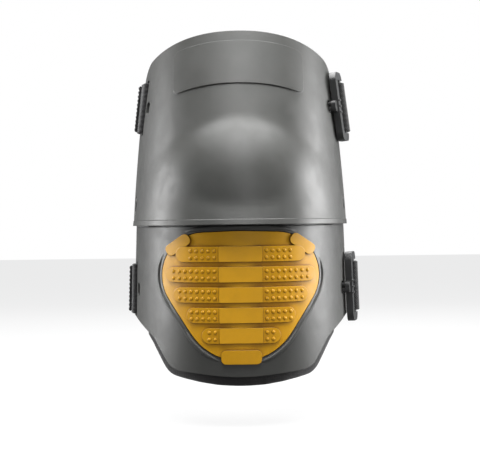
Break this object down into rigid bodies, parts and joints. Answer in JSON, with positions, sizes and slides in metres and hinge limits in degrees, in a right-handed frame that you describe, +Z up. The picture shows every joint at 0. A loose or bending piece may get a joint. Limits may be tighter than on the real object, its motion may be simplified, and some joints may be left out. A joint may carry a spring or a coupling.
{
  "type": "hinged knee pad",
  "caption": "Hinged hard-shell knee pad with a ribbed kneeling insert, foam linings and elastic straps that hook on ring clips.",
  "frame": {"origin": "midway between the two knee pivots, where the middle of the wearer's knee is", "axes": "+Z up the leg, -Y to the front of the knee, X along the line through the two pivots; shown upright as worn, in the middle of a leg that holds it"},
  "size_m": [0.1785, 0.1992, 0.2581],
  "materials": {
    "thigh_shell": "satin injection-moulded plastic",
    "shin_shell": "satin injection-moulded plastic",
    "tread_insert": "ribbed and studded rubber",
    "hinge_stud_left": "black moulded plastic",
    "hinge_stud_right": "black moulded plastic",
    "hinge_washer_left": "black moulded plastic",
    "hinge_washer_right": "black moulded plastic",
    "hinge_cap_left": "black moulded plastic",
    "hinge_cap_right": "black moulded plastic",
    "thigh_liner": "fabric-faced closed-cell foam",
    "shin_liner": "fabric-faced closed-cell foam",
    "knee_cushion": "fabric-faced soft foam",
    "thigh_liner_patch_left": "hook-and-loop",
    "thigh_liner_patch_right": "hook-and-loop",
    "shin_liner_patch_left": "hook-and-loop",
    "shin_liner_patch_right": "hook-and-loop",
    "thigh_strap": "woven elastic",
    "shin_strap": "woven elastic",
    "thigh_strap_tab": "hook-and-loop tape",
    "shin_strap_tab": "hook-and-loop tape",
    "thigh_clip": "glossy black plastic",
    "shin_clip": "glossy black plastic"
  },
  "bodies": {
    "shin": {"shin_shell": "shin_shell", "tread_insert": "tread_insert", "shin_liner": "shin_liner", "knee_cushion": "knee_cushion", "shin_liner_patch_left": "shin_liner_patch_left", "shin_liner_patch_right": "shin_liner_patch_right", "shin_strap": "shin_strap", "shin_strap_tab": "shin_strap_tab", "hinge_stud_left": "hinge_stud_left", "hinge_stud_right": "hinge_stud_right", "hinge_washer_left": "hinge_washer_left", "hinge_washer_right": "hinge_washer_right", "hinge_cap_left": "hinge_cap_left", "hinge_cap_right": "hinge_cap_right"},
    "thigh": {"thigh_shell": "thigh_shell", "thigh_liner": "thigh_liner", "thigh_liner_patch_left": "thigh_liner_patch_left", "thigh_liner_patch_right": "thigh_liner_patch_right", "thigh_strap": "thigh_strap", "thigh_strap_tab": "thigh_strap_tab"},
    "thigh_ring": {"thigh_clip": "thigh_clip"},
    "shin_ring": {"shin_clip": "shin_clip"}
  },
  "joints": [
    {"name": "knee_flex", "type": "hinge", "parent": "shin", "child": "thigh", "pos_m": [0, 0, 0], "axis": [-1, 0, 0], "range_deg": [0, 50]},
    {"name": "thigh_clip_swing", "type": "hinge", "parent": "thigh", "child": "thigh_ring", "pos_m": [0.07962, 0.01651, 0.075], "axis": [-0.1233, 0, 0.9924], "range_deg": [0, 60]},
    {"name": "shin_clip_swing", "type": "hinge", "parent": "shin", "child": "shin_ring", "pos_m": [0.08705, 0.0195, -0.063], "axis": [-0.0311, 0, 0.9995], "range_deg": [0, 60]}
  ]
}
